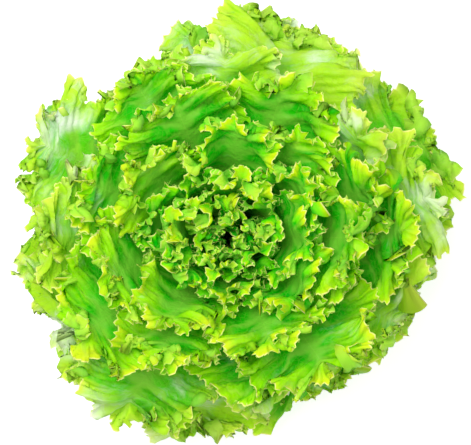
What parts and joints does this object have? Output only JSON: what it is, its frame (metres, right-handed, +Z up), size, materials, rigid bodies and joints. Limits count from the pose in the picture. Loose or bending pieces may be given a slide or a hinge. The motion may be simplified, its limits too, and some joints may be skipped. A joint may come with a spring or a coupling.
{
  "type": "batavia lettuce",
  "caption": "Whole head of batavia lettuce: a round, domed rosette of broad frilled green leaves on a short cut stem.",
  "frame": {"origin": "centre of the flat cut face under the stem, on the surface the head rests on", "axes": "+Z up along the stem; the head is nearly the same on all sides, +Y is the top of the reference view"},
  "size_m": [0.2978, 0.2905, 0.142],
  "materials": {
    "stem": "moist pale flesh with a browned cut face",
    "heart_leaf": "thin crisp leaf, yellow-green with lime edges, soft waxy sheen",
    "middle_leaf": "thin crisp leaf, bright green with lime edges, soft waxy sheen",
    "outer_leaf": "broad leaf, mid green with paler ribs and underside, soft waxy sheen"
  },
  "bodies": {
    "root": {"stem": "stem", "heart_leaf_01": "heart_leaf", "heart_leaf_02": "heart_leaf", "heart_leaf_03": "heart_leaf", "heart_leaf_04": "heart_leaf", "heart_leaf_05": "heart_leaf", "heart_leaf_06": "heart_leaf", "heart_leaf_07": "heart_leaf", "heart_leaf_08": "heart_leaf", "heart_leaf_09": "heart_leaf", "heart_leaf_10": "heart_leaf", "heart_leaf_11": "heart_leaf", "heart_leaf_12": "heart_leaf", "heart_leaf_13": "heart_leaf", "heart_leaf_14": "heart_leaf", "heart_leaf_15": "heart_leaf", "heart_leaf_16": "heart_leaf", "heart_leaf_17": "heart_leaf", "heart_leaf_18": "heart_leaf", "heart_leaf_19": "heart_leaf", "heart_leaf_20": "heart_leaf", "middle_leaf_01": "middle_leaf", "middle_leaf_02": "middle_leaf", "middle_leaf_03": "middle_leaf", "middle_leaf_04": "middle_leaf", "middle_leaf_05": "middle_leaf", "middle_leaf_06": "middle_leaf", "middle_leaf_07": "middle_leaf", "middle_leaf_08": "middle_leaf", "middle_leaf_09": "middle_leaf", "middle_leaf_10": "middle_leaf", "middle_leaf_11": "middle_leaf", "middle_leaf_12": "middle_leaf", "middle_leaf_13": "middle_leaf", "middle_leaf_14": "middle_leaf", "middle_leaf_15": "middle_leaf", "middle_leaf_16": "middle_leaf", "middle_leaf_17": "middle_leaf", "outer_leaf_01": "outer_leaf", "outer_leaf_02": "outer_leaf", "outer_leaf_03": "outer_leaf", "outer_leaf_04": "outer_leaf", "outer_leaf_05": "outer_leaf", "outer_leaf_06": "outer_leaf", "outer_leaf_07": "outer_leaf", "outer_leaf_08": "outer_leaf", "outer_leaf_09": "outer_leaf", "outer_leaf_10": "outer_leaf", "outer_leaf_11": "outer_leaf", "outer_leaf_12": "outer_leaf", "outer_leaf_13": "outer_leaf", "outer_leaf_14": "outer_leaf", "outer_leaf_15": "outer_leaf", "outer_leaf_16": "outer_leaf", "outer_leaf_17": "outer_leaf"}
  },
  "joints": []
}
